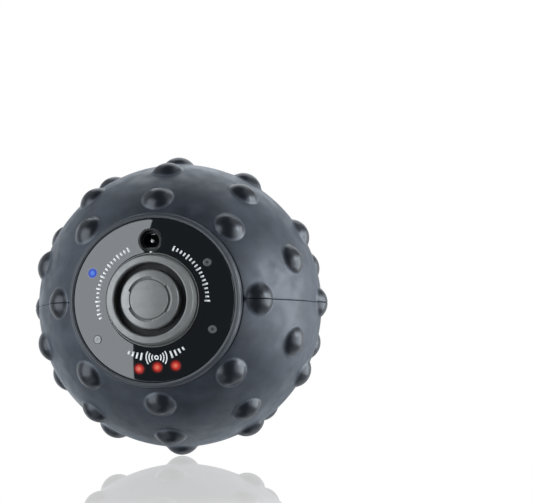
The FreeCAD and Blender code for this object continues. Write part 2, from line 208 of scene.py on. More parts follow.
def lathe(outline, centre=(0.0, 0.0), segments=160):
    """Vertices and faces of an outline of (r, w) points turned about the axis through centre."""
    vertices = []
    rings = []
    for r, w in outline:
        if r < 1e-6:
            rings.append([len(vertices)])
            vertices.append(place(centre[0], centre[1], w))
            continue
        rings.append(list(range(len(vertices), len(vertices) + segments)))
        for step in range(segments):
            angle = 2 * math.pi * step / segments
            vertices.append(place(centre[0] + r * math.cos(angle), centre[1] + r * math.sin(angle), w))
    faces = []
    pairs = list(zip(rings, rings[1:]))
    if len(rings[0]) > 1 and len(rings[-1]) > 1:
        pairs.append((rings[-1], rings[0]))
    for lower, upper in pairs:
        for step in range(segments):
            after = (step + 1) % segments
            if len(lower) == 1:
                faces.append((lower[0], upper[after], upper[step]))
            elif len(upper) == 1:
                faces.append((lower[step], lower[after], upper[0]))
            else:
                faces.append((lower[step], lower[after], upper[after], upper[step]))
    return vertices, faces


def joined(shapes):
    """Several (vertices, faces) as one."""
    vertices = []
    faces = []
    for some_vertices, some_faces in shapes:
        start = len(vertices)
        vertices.extend(some_vertices)
        faces.extend(tuple(i + start for i in face) for face in some_faces)
    return vertices, faces


# ---------------------------------------------------------------- materials
class Shader:
    """A principled material and a few ways to add procedural detail to it."""

    def __init__(self, name, color, roughness, metallic=0.0, ior=1.5):
        self.material = bpy.data.materials.new(name)
        self.material.use_nodes = True
        self.nodes = self.material.node_tree.nodes
        self.links = self.material.node_tree.links
        self.shader = self.nodes["Principled BSDF"]
        self.color = color
        self.shader.inputs["Base Color"].default_value = (*color, 1.0)
        self.shader.inputs["Roughness"].default_value = roughness
        self.shader.inputs["Metallic"].default_value = metallic
        self.shader.inputs["IOR"].default_value = ior
        self.coordinates = self.nodes.new("ShaderNodeTexCoord").outputs["Object"]
        self.bump = None

    def node(self, kind, **settings):
        node = self.nodes.new("ShaderNode" + kind)
        for key, value in settings.items():
            setattr(node, key, value)
        return node

    def noise(self, grain_mm, detail=3.0):
        """Noise whose features are about grain_mm across."""
        noise = self.node("TexNoise")
        noise.inputs["Scale"].default_value = 1.0 / (grain_mm * MM)
        noise.inputs["Detail"].default_value = detail
        self.links.new(self.coordinates, noise.inputs["Vector"])
        return noise.outputs["Fac"]

    def ranged(self, value, low, high, start=0.35, end=0.65):
        """A value between start and end, spread over low to high."""
        span = self.node("MapRange")
        span.inputs["From Min"].default_value = start
        span.inputs["From Max"].default_value = end
        span.inputs["To Min"].default_value = low
        span.inputs["To Max"].default_value = high
        self.links.new(value, span.inputs["Value"])
        return span.outputs["Result"]

    def blend(self, first, second, factor):
        """A mix of two colours; the first may be a socket."""
        mix = self.node("Mix", data_type="RGBA")
        if isinstance(first, tuple):
            mix.inputs["A"].default_value = (*first, 1.0)
        else:
            self.links.new(first, mix.inputs["A"])
        mix.inputs["B"].default_value = (*second, 1.0)
        self.links.new(factor, mix.inputs["Factor"])
        return mix.outputs["Result"]

    def vary_roughness(self, grain_mm, low, high):
        """The roughness drifts between low and high."""
        self.links.new(self.ranged(self.noise(grain_mm), low, high), self.shader.inputs["Roughness"])
        return self

    def vary_color(self, grain_mm, other):
        """The colour drifts between the material's own and another."""
        factor = self.ranged(self.noise(grain_mm), 0.0, 1.0)
        self.links.new(self.blend(self.color, other, factor), self.shader.inputs["Base Color"])
        return self

    def add_bump(self, grain_mm, depth_mm):
        """Fine relief in the shading, on top of any that is there already."""
        bump = self.node("Bump")
        bump.inputs["Distance"].default_value = depth_mm * MM
        self.links.new(self.noise(grain_mm, detail=2.0), bump.inputs["Height"])
        if self.bump:
            self.links.new(self.bump, bump.inputs["Normal"])
        self.bump = bump.outputs["Normal"]
        self.links.new(self.bump, self.shader.inputs["Normal"])
        return self


def silicone():
    """Dark satin silicone: darker polished bumps, with a painted pale highlight in the corner round each
    bump.
    """
    shader = Shader("slate silicone", (0.012, 0.015, 0.022), 0.44, ior=1.53)
    surface = shader.shader
    surface.inputs["Specular Tint"].default_value = (0.90, 0.94, 1.0, 1.0)
    surface.inputs["Sheen Roughness"].default_value = 0.4
    surface.inputs["Sheen Tint"].default_value = (0.82, 0.90, 1.0, 1.0)
    level = shader.node("VectorMath", operation="LENGTH")
    shader.links.new(shader.coordinates, level.inputs[0])
    height = level.outputs["Value"]
    on_bump = shader.ranged(height, 0.0, 1.0, (SKIN_RADIUS + 0.05) * MM, (SKIN_RADIUS + 0.7) * MM)
    rim_highlight_rise = shader.ranged(height, 0.0, 1.0, (SKIN_RADIUS + 0.01) * MM, (SKIN_RADIUS + 0.12) * MM)
    rim_highlight_fall = shader.ranged(height, 1.0, 0.0, (SKIN_RADIUS + 0.2) * MM, (SKIN_RADIUS + 1.0) * MM)
    # corner: the band round the foot of each bump where a pale rim is painted into the colour as a highlight
    corner = shader.node("Math", operation="MULTIPLY")
    shader.links.new(rim_highlight_rise, corner.inputs[0])
    shader.links.new(rim_highlight_fall, corner.inputs[1])
    patches = shader.blend(shader.color, (0.027, 0.032, 0.044), shader.ranged(shader.noise(9.0), 0.0, 1.0))
    polished = shader.blend(patches, (0.006, 0.007, 0.010), on_bump)
    # Painted highlight: the colour is lifted to a pale tone in that band round each bump
    painted_rim_highlight = shader.blend(polished, (0.050, 0.056, 0.068), corner.outputs["Value"])
    shader.links.new(painted_rim_highlight, surface.inputs["Base Color"])
    shader.links.new(shader.ranged(on_bump, 0.13, 0.0, 0.0, 1.0), surface.inputs["Sheen Weight"])
    matte = shader.ranged(shader.noise(6.0), 0.36, 0.52)
    satin = shader.node("Mix", data_type="FLOAT")
    satin.inputs["B"].default_value = 0.31
    shader.links.new(on_bump, satin.inputs["Factor"])
    shader.links.new(matte, satin.inputs["A"])
    shader.links.new(satin.outputs["Result"], surface.inputs["Roughness"])
    return shader.add_bump(0.35, 0.009).add_bump(5.0, 0.032).material


def bezel_plastic():
    """Dark satin plastic."""
    shader = Shader("bezel plastic", (0.036, 0.041, 0.048), 0.36, ior=1.52)
    shader.vary_roughness(3.0, 0.32, 0.42)
    return shader.add_bump(0.25, 0.006).material


def satin_silver(name, smoothest, roughest):
    """Grey lacquer with a slight metal sheen."""
    shader = Shader(name, (0.205, 0.206, 0.20), smoothest, metallic=0.35, ior=1.5)
    shader.vary_color(2.5, (0.23, 0.231, 0.225))
    shader.vary_roughness(1.6, smoothest, roughest)
    return shader.add_bump(0.12, 0.004).material


def spot(shader, centre, inner_mm, outer_mm):
    """1 near a point of the panel, falling to 0 at the outer distance."""
    distance = shader.node("VectorMath", operation="DISTANCE")
    distance.inputs[1].default_value = centre
    shader.links.new(shader.coordinates, distance.inputs[0])
    fade = shader.node("MapRange", interpolation_type="SMOOTHERSTEP")
    fade.inputs["From Min"].default_value = inner_mm * MM
    fade.inputs["From Max"].default_value = outer_mm * MM
    fade.inputs["To Min"].default_value = 1.0
    fade.inputs["To Max"].default_value = 0.0
    shader.links.new(distance.outputs["Value"], fade.inputs["Value"])
    return fade.outputs["Result"]


def glossy_panel(painted_lamp_glows):
    """Black gloss with a painted glow of lamp light round each lit lens, given off by the panel itself."""
    shader = Shader("glossy black panel", (0.001, 0.002, 0.003), 0.03, ior=1.72)
    shader.vary_roughness(12.0, 0.02, 0.04)
    painted_glow = None
    for centre, color in painted_lamp_glows:
        scaled = shader.node("VectorMath", operation="SCALE")
        scaled.inputs[0].default_value = color
        shader.links.new(spot(shader, centre, LENS_RADIUS * 0.8, LENS_RADIUS * 1.7), scaled.inputs["Scale"])
        if painted_glow is None:
            painted_glow = scaled.outputs["Vector"]
            continue
        added = shader.node("VectorMath", operation="ADD")
        shader.links.new(painted_glow, added.inputs[0])
        shader.links.new(scaled.outputs["Vector"], added.inputs[1])
        painted_glow = added.outputs["Vector"]
    # Painted glow: the panel gives off the lamp colour round each lit lens
    shader.links.new(painted_glow, shader.shader.inputs["Emission Color"])
    shader.shader.inputs["Emission Strength"].default_value = 0.5
    return shader.add_bump(6.0, 0.002).material


def lens_middles(shader, centres, inner_mm, outer_mm):
    """1 in the middle of each lens, falling to 0 at the outer distance."""
    best = None
    for centre in centres:
        level = spot(shader, centre, inner_mm, outer_mm)
        if best is None:
            best = level
            continue
        larger = shader.node("Math", operation="MAXIMUM")
        shader.links.new(best, larger.inputs[0])
        shader.links.new(level, larger.inputs[1])
        best = larger.outputs["Value"]
    return best


def lit_lens(name, color, core, centres):
    """A lit diffuser, brighter in its middle."""
    shader = Shader(name, tuple(0.25 * level for level in color), 0.25)
    shader.shader.inputs["Specular IOR Level"].default_value = 0.2
    level = lens_middles(shader, centres, 0.1, LENS_RADIUS)
    shader.links.new(shader.blend(color, core, level), shader.shader.inputs["Emission Color"])
    shader.shader.inputs["Emission Strength"].default_value = 0.8
    return shader.add_bump(0.4, 0.004).material


def unlit_lens(centres):
    """A frosted lens, darker in its middle."""
    shader = Shader("unlit lens", (0.105, 0.11, 0.11), 0.08, ior=1.85)
    level = lens_middles(shader, centres, 0.35, 0.75)
    mix = shader.blend(shader.color, (0.03, 0.032, 0.033), level)
    shader.links.new(mix, shader.shader.inputs["Base Color"])
    return shader.add_bump(0.3, 0.002).material


def plain(name, color, roughness, other, metallic=0.0, grain_mm=1.5):
    """A material for the pieces inside: colour, roughness and surface all vary a little."""
    shader = Shader(name, color, roughness, metallic=metallic)
    shader.vary_color(grain_mm * 3, other)
    shader.vary_roughness(grain_mm * 2, roughness * 0.85, min(1.0, roughness * 1.2))
    return shader.add_bump(grain_mm * 0.3, 0.005).material


def cad_materials():
    """One material for each of the record's slots that carried-over CAD nodes use."""
    return {
        "shell": plain("shell plastic", (0.03, 0.032, 0.036), 0.55, (0.036, 0.038, 0.042)),
        "black_plastic": plain("black plastic", (0.010, 0.010, 0.011), 0.45, (0.014, 0.014, 0.015)),
        "board": plain("solder mask", (0.015, 0.10, 0.04), 0.3, (0.02, 0.12, 0.05)),
        "chip": plain("chip epoxy", (0.02, 0.02, 0.022), 0.6, (0.026, 0.026, 0.028), grain_mm=0.4),
        "led": plain("lamp resin", (0.7, 0.65, 0.45), 0.2, (0.75, 0.7, 0.5), grain_mm=0.4),
        "steel": plain("machined steel", (0.45, 0.45, 0.45), 0.3, (0.5, 0.5, 0.5), metallic=1.0),
        "bright_metal": plain("nickel plate", (0.75, 0.74, 0.71), 0.16, (0.8, 0.79, 0.76), metallic=1.0),
        "brass": plain("machined brass", (0.6, 0.43, 0.18), 0.28, (0.66, 0.48, 0.22), metallic=1.0),
        "copper": plain("enamelled copper", (0.5, 0.2, 0.09), 0.3, (0.56, 0.24, 0.11),
                        metallic=1.0, grain_mm=0.5),
        "magnet": plain("sintered magnet", (0.05, 0.05, 0.055), 0.5, (0.06, 0.06, 0.066)),
        "rubber": plain("black rubber", (0.018, 0.018, 0.018), 0.7, (0.024, 0.024, 0.024)),
        "cell_sleeve": plain("cell sleeve", (0.03, 0.12, 0.32), 0.3, (0.035, 0.14, 0.36)),
        "lead_red": plain("red insulation", (0.45, 0.02, 0.02), 0.4, (0.5, 0.025, 0.025)),
        "lead_black": plain("black insulation", (0.012, 0.012, 0.012), 0.4, (0.016, 0.016, 0.016)),
    }


def dress_cad_nodes(materials):
    """Gives each CAD node that still shows its slot's material."""
    for subpart in frame["record"]["subparts"]:
        material = materials.get(subpart["material_slot"])
        node = frame["nodes"][subpart["node"]]
        if material:
            for index in range(len(node.material_slots)):
                node.material_slots[index].material = material


# ---------------------------------------------------------------- skin
BASE_LEVEL = math.sqrt(SKIN_RADIUS ** 2 - BUMP_BASE_RADIUS ** 2)
DOME_RISE = SKIN_RADIUS + BUMP_HEIGHT - BASE_LEVEL
DOME_RADIUS = (BUMP_BASE_RADIUS ** 2 + DOME_RISE ** 2) / (2 * DOME_RISE)
DOME_CENTRE = SKIN_RADIUS + BUMP_HEIGHT - DOME_RADIUS


def angle_opposite(opposite, side, other):
    """The angle between two sides of a triangle, opposite the third."""
    return math.acos((side ** 2 + other ** 2 - opposite ** 2) / (2 * side * other))


FILLET_CENTRE = SKIN_RADIUS + BUMP_FILLET
FILLET_END = angle_opposite(DOME_RADIUS + BUMP_FILLET, DOME_CENTRE, FILLET_CENTRE)
FILLET_TURN = math.pi - angle_opposite(FILLET_CENTRE, DOME_CENTRE, DOME_RADIUS + BUMP_FILLET)
DOME_END = math.atan2(DOME_RADIUS * math.sin(FILLET_TURN), DOME_CENTRE + DOME_RADIUS * math.cos(FILLET_TURN))
OPENING_ANGLE = math.asin(OPENING_RADIUS / SKIN_RADIUS)


def direction(polar, azimuth):
    """A unit vector in the row frame, from angles in radians about the panel's axis."""
    across = math.sin(polar)
    return Vector((across * math.cos(azimuth), -math.cos(polar), across * math.sin(azimuth)))


def bump_axes():
    """A unit vector through the middle of each bump."""
    axes = []
    for polar, count, first in BUMP_RINGS:
        for index in range(count):
            axes.append(direction(math.radians(polar), math.radians(first + index * 360.0 / count)))
    return axes


BUMPS = bump_axes()


def nearest_bump(ray):
    """Angle from a unit vector to the nearest bump's axis."""
    return math.acos(min(1.0, max(ray.dot(axis) for axis in BUMPS)))


def skin_height(ray):
    """Distance from the ball's centre to the skin with its bumps, along a unit vector."""
    angle = nearest_bump(ray)
    if angle >= FILLET_END:
        return SKIN_RADIUS
    if angle >= DOME_END:
        offset = FILLET_END - angle
        across = FILLET_CENTRE * math.sin(offset)
        return FILLET_CENTRE * math.cos(offset) - math.sqrt(max(0.0, BUMP_FILLET ** 2 - across ** 2))
    across = DOME_CENTRE * math.sin(angle)
    return DOME_CENTRE * math.cos(angle) + math.sqrt(DOME_RADIUS ** 2 - across ** 2)


def skin_point(ray):
    """The skin's outer surface along a unit vector in the upper half, with its edges rounded."""
    height = skin_height(ray)
    seam = edge_drop(ray.z * height - SEAM_HALF_GAP, SEAM_ROUNDING)
    polar = math.acos(max(-1.0, min(1.0, -ray.y)))
    opening = edge_drop((polar - OPENING_ANGLE) * SKIN_RADIUS, OPENING_ROUNDING)
    return ray * (height - max(seam, opening))


SEAM_ROWS = (0.0, 0.03, 0.1, 0.2, 0.35, 0.6)
OPENING_ROWS = (0.0, 0.06, 0.16, 0.3, 0.5, 0.85)
CLEAR_OF_EDGES = 1.0
FILL_SPACING = 1.9
SEAM_STEP = 1.1
SEAM_STEP_AT_BUMPS = 0.32


def seam_polars():
    """Angles along the seam, from one corner of the opening round the back to the other."""
    polars = [OPENING_ANGLE]
    last = 2 * math.pi - OPENING_ANGLE
    while polars[-1] < last:
        near_bump = nearest_bump(direction(polars[-1], 0.0)) < FILLET_END + 0.5 / SKIN_RADIUS
        polars.append(polars[-1] + (SEAM_STEP_AT_BUMPS if near_bump else SEAM_STEP) / SKIN_RADIUS)
    polars[-1] = last
    if polars[-1] - polars[-2] < 0.2 / SKIN_RADIUS:
        del polars[-2]
    return polars


def seam_ray(polar, offset):
    """A unit vector at an offset above the seam's lower edge."""
    rise = (SEAM_HALF_GAP + offset) / SKIN_RADIUS
    flat = direction(polar, 0.0)
    return (flat * math.sqrt(1 - rise ** 2) + Vector((0, 0, rise))).normalized()


def bump_rays(axis):
    """Rings of unit vectors about a bump's axis, close together in its fillet."""
    side = axis.orthogonal().normalized()
    if abs(axis.z) < 0.01:
        side = axis.cross(Vector((0, 0, 1)))
    other = axis.cross(side)
    dome_rows = [DOME_END * step / 9 for step in range(1, 10)]
    fillet_rows = [DOME_END + (FILLET_END - DOME_END) * step / 6 for step in range(1, 7)]
    margin_rows = [FILLET_END + 0.45 / SKIN_RADIUS, FILLET_END + 1.3 / SKIN_RADIUS]
    rays = [axis]
    for row, angle in enumerate(dome_rows + fillet_rows + margin_rows):
        count = (12, 24, 36)[row] if row < 3 else 56
        for step in range(count):
            turn = 2 * math.pi * (step + 0.5 * (row % 2)) / count
            arm = side * math.cos(turn) + other * math.sin(turn)
            rays.append((axis * math.cos(angle) + arm * math.sin(angle)).normalized())
    return rays


def fibonacci_rays(spacing, radius):
    """Evenly spread unit vectors."""
    count = int(4 * math.pi * radius ** 2 / spacing ** 2)
    golden = math.pi * (3 - math.sqrt(5))
    for index in range(count):
        z = 1 - 2 * (index + 0.5) / count
        ring = math.sqrt(1 - z * z)
        yield Vector((ring * math.cos(golden * index), ring * math.sin(golden * index), z))


def project(ray):
    """Stereographic projection from straight below, which keeps Delaunay triangles."""
    return ray.x / (1 + ray.z), ray.y / (1 + ray.z)


def outside_opening(limit):
    """A test that a projected centre lies outside the front opening."""
    def keep(centre):
        square = centre[0] ** 2 + centre[1] ** 2
        ray = Vector((2 * centre[0], 2 * centre[1], 1 - square)) / (1 + square)
        return math.acos(max(-1.0, min(1.0, -ray.y))) > limit
    return keep


def upper_skin_shape():
    """The upper half-skin: outer surface, walls at its edges and inner surface.

    Two hairline slits stay open at the inner edge of the seam, one at each side of the front opening.
    """
    polars = seam_polars()
    rows = [[seam_ray(polar, offset) for polar in polars] for offset in SEAM_ROWS]
    steps = int(math.pi * OPENING_RADIUS / 0.85)
    azimuths = [math.pi * step / steps for step in range(1, steps)]
    azimuths = [a for a in azimuths if OPENING_RADIUS * math.sin(a) > CLEAR_OF_EDGES]
    edge = [direction(OPENING_ANGLE, a) for a in reversed(azimuths)]
    loop = rows[0] + [row[-1] for row in rows[1:]] + edge + [row[0] for row in reversed(rows[1:])]
    rays = list(loop)
    for row in rows[1:]:
        rays.extend(row[1:-1])
    for offset in OPENING_ROWS[1:]:
        polar = OPENING_ANGLE + offset / SKIN_RADIUS
        rays.extend(direction(polar, a) for a in azimuths)
    low = CLEAR_OF_EDGES / SKIN_RADIUS
    rim = OPENING_ANGLE + 1.1 / SKIN_RADIUS
    for axis in BUMPS:
        if axis.z > -0.01:
            rays.extend(r for r in bump_rays(axis) if r.z > low and math.acos(-r.y) > rim)
    clear = FILLET_END + 2.4 / SKIN_RADIUS
    edge_clear = 1.9 / SKIN_RADIUS
    for ray in fibonacci_rays(FILL_SPACING, SKIN_RADIUS):
        clear_of_opening = ray.z > edge_clear and math.acos(-ray.y) > OPENING_ANGLE + edge_clear
        if clear_of_opening and nearest_bump(ray) > clear:
            rays.append(ray)
    faces = triangles([project(r) for r in rays], outside_opening(OPENING_ANGLE))
    vertices = [skin_point(r) for r in rays]

    # Walls from the outer edges down to the inner radius, then the inner surface
    first_inner = len(vertices)
    inner_rim = math.sqrt(SKIN_INNER_RADIUS ** 2 - OPENING_RADIUS ** 2)
    seam_count = len(rows[0])
    inner_seam = math.sqrt(SKIN_INNER_RADIUS ** 2 - SEAM_HALF_GAP ** 2)
    inner_points = []
    for index, ray in enumerate(loop):
        if 0 < index < seam_count - 1:
            flat = Vector((ray.x, ray.y, 0)).normalized()
            inner_points.append(flat * inner_seam + Vector((0, 0, SEAM_HALF_GAP)))
        else:
            height = max(vertices[index].z, SEAM_HALF_GAP)
            across = math.copysign(math.sqrt(OPENING_RADIUS ** 2 - height ** 2), ray.x)
            inner_points.append(Vector((across, -inner_rim, height)))
            vertices[index] = Vector((across, vertices[index].y, height))
    vertices.extend(inner_points)
    count = len(loop)
    for index in range(count):
        after = (index + 1) % count
        faces.append((index, first_inner + index, first_inner + after, after))
    inner_rays = [p.normalized() for p in inner_points]
    inner_limit = math.asin(OPENING_RADIUS / SKIN_INNER_RADIUS)
    for ray in fibonacci_rays(6.0, SKIN_INNER_RADIUS):
        if ray.z > 0.06 and math.acos(-ray.y) > inner_limit + 0.06:
            inner_rays.append(ray)
            vertices.append(ray * SKIN_INNER_RADIUS)
    inner = triangles([project(r) for r in inner_rays], outside_opening(inner_limit))
    faces.extend(tuple(first_inner + i for i in reversed(face)) for face in inner)
    return vertices, faces


def build_skins(material):
    """Both half-skins; the lower mirrors the upper."""
    vertices, faces = upper_skin_shape()
    upper = [v * MM for v in vertices]
    lower = [Vector((v.x, v.y, -v.z)) for v in upper]
    make_piece("skin_upper", upper, faces, material, BALL, ["upper_skin"], weighted=False)
    turned = [tuple(reversed(face)) for face in faces]
    make_piece("skin_lower", lower, turned, material, BALL, ["lower_skin"], weighted=False)


# ---------------------------------------------------------------- panel
def lens_places():
    """x and y of the four status lenses, the lit one first, and then of the battery lenses."""
    flat = [(side * STATUS_X, y) for y in STATUS_Y for side in (-1, 1)]
    flat += [(step * BATTERY_SPACING, BATTERY_Y) for step in (-1, 0, 1)]
    turn = Matrix.Rotation(math.radians(LENS_TURN), 2)
    return [tuple(turn @ Vector((x + LENS_SHIFT, y))) for x, y in flat]


def circle_points(centre, radius, spacing):
    count = max(24, int(2 * math.pi * radius / spacing))
    for step in range(count):
        angle = 2 * math.pi * step / count
        yield centre[0] + radius * math.cos(angle), centre[1] + radius * math.sin(angle)


def build_panel(material):
    """The domed disc with its holes, all edges rounded."""
    holes = [((0.0, 0.0), COLLAR_RADIUS + 0.1)]
    holes += [(place_, LENS_RADIUS + 0.05) for place_ in lens_places()]
    holes.append((on_panel(JACK_DISTANCE, JACK_AZIMUTH), JACK_RADIUS + 0.05))
    flat = []
    drops = []
    loops = []

    def add_rows(centre, radius, outward, offsets, rounding):
        """Rows of points beside an edge; outward is the side of it that the panel is on."""
        for offset in offsets:
            ring = list(circle_points(centre, radius + outward * offset, 0.6))
            if offset == 0:
                loops.append((len(flat), len(ring), outward))
            flat.extend(ring)
            drops.extend([edge_drop(offset, rounding)] * len(ring))

    add_rows((0.0, 0.0), PANEL_RADIUS, -1, (0.0, 0.05, 0.15, 0.3, 0.7), 0.3)
    for centre, radius in holes:
        add_rows(centre, radius, 1, (0.0, 0.04, 0.12, 0.4), 0.12)
    spacing = 1.5
    rows = int(PANEL_RADIUS / (spacing * 0.866)) + 1
    for row in range(-rows, rows + 1):
        for column in range(-rows - 2, rows + 3):
            x = (column + 0.5 * (row % 2)) * spacing
            y = row * spacing * 0.866
            inside = math.hypot(x, y) < PANEL_RADIUS - 1.3
            if inside and all(math.hypot(x - c[0], y - c[1]) > r + 1.0 for c, r in holes):
                flat.append((x, y))
                drops.append(0.0)

    def keep(centre):
        if math.hypot(*centre) > PANEL_RADIUS - 0.01:
            return False
        return all(math.hypot(centre[0] - c[0], centre[1] - c[1]) > r - 0.002 for c, r in holes)

    faces = triangles(flat, keep)
    vertices = [place(x, y, panel_height(math.hypot(x, y)) - drop) for (x, y), drop in zip(flat, drops)]
    lower_flat = []
    lower_start = len(vertices)
    for start, count, outward in loops:
        base = lower_start + len(lower_flat)
        for step in range(count):
            after = (step + 1) % count
            quad = (start + step, base + step, base + after, start + after)
            faces.append(quad if outward < 0 else quad[::-1])
        lower_flat.extend(flat[start:start + count])
    for x, y in lower_flat:
        vertices.append(place(x, y, panel_height(math.hypot(x, y)) - PANEL_THICKNESS))
    faces.extend(tuple(lower_start + i for i in reversed(face)) for face in triangles(lower_flat, keep))
    panel = make_piece("panel_disc", vertices, faces, material, BALL, ["front_panel"],
                       weighted=False)
    set_dome_normals(panel, len(flat), drops)


def set_dome_normals(panel, count, drops):
    """Exact normals on the dome, so that reflections in it stay clean."""
    mesh = panel.data
    centre = place(0.0, 0.0, PANEL_APEX - PANEL_DOME_RADIUS)
    normals = []
    for loop in mesh.loops:
        on_dome = loop.vertex_index < count and drops[loop.vertex_index] == 0.0
        if on_dome:
            normals.append(tuple((mesh.vertices[loop.vertex_index].co - centre).normalized()))
        else:
            normals.append((0.0, 0.0, 0.0))
    mesh.normals_split_custom_set(normals)


def build_bezel(material):
    """The ring round the panel."""
    corners = [(35.5, 44.05, 0), (36.0, 44.05, 0), (36.0, 48.2, 0.6), (35.6, 50.4, 0.8), (34.6, 51.2, 0.5),
               (33.55, 51.05, 0.25), (33.55, 49.1, 0), (31.5, 49.1, 0), (31.5, 46.2, 0), (35.5, 46.2, 0)]
    vertices, faces = lathe(rounded(corners), segments=220)
    make_piece("bezel", vertices, faces, material, BALL, ["bezel_ring"])


def build_collar(material):
    """The fixed collar round the button."""
    corners = [(15.05, 49.0, 0), (21.5, 49.0, 0), (21.5, 50.8, 0), (COLLAR_RADIUS, 50.8, 0),
               (COLLAR_RADIUS, 54.15, 0.14), (18.85, 54.15, 0.1), (18.85, 53.4, 0), (18.45, 53.4, 0),
               (17.8, 59.07, 0.35), (15.45, 59.4, 0.3), (15.05, 59.0, 0.25)]
    vertices, faces = lathe(rounded(corners), segments=200)
    make_piece("collar", vertices, faces, material, BALL, ["button_collar"])


def slot_radius(azimuth):
    """The inner outline of the button ring: three arc slots outside the cap's round hole."""
    hole = CAP_RADIUS + CAP_GAP
    ramp = 1.3
    away = abs((azimuth + 60.0) % 120.0 - 60.0)
    level = (SLOT_ANGLE / 2 - away) / ramp + 0.5
    level = min(1.0, max(0.0, level))
    return hole + (SLOT_OUTER_RADIUS - hole) * level * level * (3 - 2 * level)


def button_azimuths():
    """Azimuths round the button, close together at the slots' ends."""
    azimuths = [step * 2.0 for step in range(180)]
    for middle in (0.0, 120.0, 240.0):
        for side in (-1, 1):
            end = middle + side * SLOT_ANGLE / 2
            azimuths.extend((end + (step - 4) * 0.2) % 360.0 for step in range(9))
    return sorted(set(azimuths))


def build_button_ring(material):
    """The button's outer ring, with its shelf at the bottom of the arc slots."""
    azimuths = button_azimuths()

    def inner_rows(azimuth):
        hole = slot_radius(azimuth)
        rows = [(hole, SHELF_TOP)]
        near_edge = (0.0, 0.02, 0.06, 0.15)
        rows += [(hole + off, button_height(hole + off) - edge_drop(off, 0.15)) for off in near_edge]
        rows += [(r, button_height(r)) for r in (9.6, 10.3, 11.0)]
        return rows

    outer = rounded([(11.0, button_height(11.0), 0), (11.6, button_height(11.6) + 0.02, 0.3),
                     (BUTTON_RADIUS, 58.9, 0.25), (BUTTON_RADIUS, 52.5, 0), (14.6, 52.5, 0), (14.6, 51.5, 0),
                     (10.9, 51.5, 0), (10.9, SHELF_BOTTOM, 0), (5.0, SHELF_BOTTOM, 0),
                     (5.0, SHELF_TOP, 0)])[1:]
    vertices = []
    for azimuth in azimuths:
        angle = math.radians(azimuth)
        for r, w in inner_rows(azimuth) + outer:
            vertices.append(place(r * math.cos(angle), r * math.sin(angle), w))
    per = len(vertices) // len(azimuths)
    faces = []
    for index in range(len(azimuths)):
        here = index * per
        after = (index + 1) % len(azimuths) * per
        for row in range(per):
            up = (row + 1) % per
            faces.append((here + row, here + up, after + up, after + row))
    make_piece("button_ring_fine", vertices, faces, material, BUTTON, ["button_ring"])


def build_button_cap(material):
    """The button's domed middle and its stem."""
    top = [(r, button_height(r)) for r in (0.0, 1.5, 3.0, 4.5, 6.0, 7.0)]
    edge = rounded([(7.0, button_height(7.0), 0), (CAP_RADIUS, button_height(CAP_RADIUS), 0.22),
                    (CAP_RADIUS, SHELF_TOP + 0.05, 0), (4.85, SHELF_TOP + 0.05, 0),
                    (4.85, SHELF_BOTTOM - 0.6, 0), (2.4, SHELF_BOTTOM - 0.6, 0),
                    (2.4, 51.4, 0), (0.0, 51.4, 0)])[1:]
    outline = top + edge
    vertices, faces = lathe(list(reversed(outline)), segments=144)
    make_piece("button_cap_fine", vertices, faces, material, BUTTON, ["button_cap"])


def build_spring(material):
    """The button's return spring: a coil of round wire, at one fixed length."""
    sides = 10
    steps = SPRING_TURNS * 48
    first = SPRING_FOOT + SPRING_WIRE
    rise = SPRING_TOP - SPRING_WIRE - first
    vertices = []
    for step in range(steps + 1):
        turn = 2 * math.pi * SPRING_TURNS * step / steps
        middle = first + rise * step / steps
        for side in range(sides):
            angle = 2 * math.pi * side / sides
            r = SPRING_RADIUS + SPRING_WIRE * math.cos(angle)
            w = middle + SPRING_WIRE * math.sin(angle)
            vertices.append(place(r * math.cos(turn), r * math.sin(turn), w))
    faces = [tuple(range(sides)), tuple(reversed(range(steps * sides, (steps + 1) * sides)))]
    for step in range(steps):
        here = step * sides
        for side in range(sides):
            after = (side + 1) % sides
            faces.append((here + side, here + sides + side, here + sides + after, here + after))
    spring = make_piece("return_spring", vertices, faces, material, BALL, ["button_spring"])
    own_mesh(spring)


def lens_shape(place_):
    """A light pipe with a softly crowned face that follows the panel's dome, and a flange below."""
    middle = panel_height(math.hypot(*place_))
    top = middle + LENS_PROUD
    crown = [(0.0, top + 0.06), (0.6, top + 0.05), (1.1, top + 0.02)]
    side = rounded([(1.1, top + 0.02, 0), (LENS_RADIUS, top - 0.02, 0.18), (LENS_RADIUS, 49.7, 0),
                    (2.2, 49.7, 0), (2.2, 48.7, 0), (LENS_RADIUS, 48.7, 0), (LENS_RADIUS, 48.5, 0),
                    (0.0, 48.5, 0)], 4)[1:]
    vertices, faces = lathe(list(reversed(crown + side)), place_, segments=40)
    for vertex in vertices:
        if -vertex.y > (middle - 1.0) * MM:
            here = math.hypot(vertex.x, vertex.z) / MM
            vertex.y += (middle - panel_height(here)) * MM
    return vertices, faces


def build_lenses(materials):
    """The lit lens, the unlit lenses and the battery lenses."""
    places = lens_places()
    groups = (("lens_lit", places[:1], "lens_blue", "status_lens_lit"),
              ("lenses_unlit", places[1:4], "lens_clear", "status_lenses"),
              ("lenses_battery", places[4:], "lens_red", "battery_lenses"))
    for name, some, slot, node in groups:
        vertices, faces = joined([lens_shape(p) for p in some])
        make_piece(name, vertices, faces, materials[slot], BALL, [node])


def build_jack(material):
    """The socket's mouth: a thin rounded ring with a step inside."""
    centre = on_panel(JACK_DISTANCE, JACK_AZIMUTH)
    corners = [(JACK_MOUTH_RADIUS, 49.6, 0), (JACK_RADIUS, 49.6, 0), (JACK_RADIUS, 53.25, 0.16),
               (JACK_MOUTH_RADIUS + 0.05, 53.3, 0.2), (JACK_MOUTH_RADIUS, 52.7, 0.1)]
    vertices, faces = lathe(rounded(corners, 5), centre, segments=96)
    make_piece("socket_mouth", vertices, faces, material, BALL, ["jack_ferrule"])


# ---------------------------------------------------------------- print on the panel
PRINT_LIFT = 0.012
PRINT_THICKNESS = 0.01


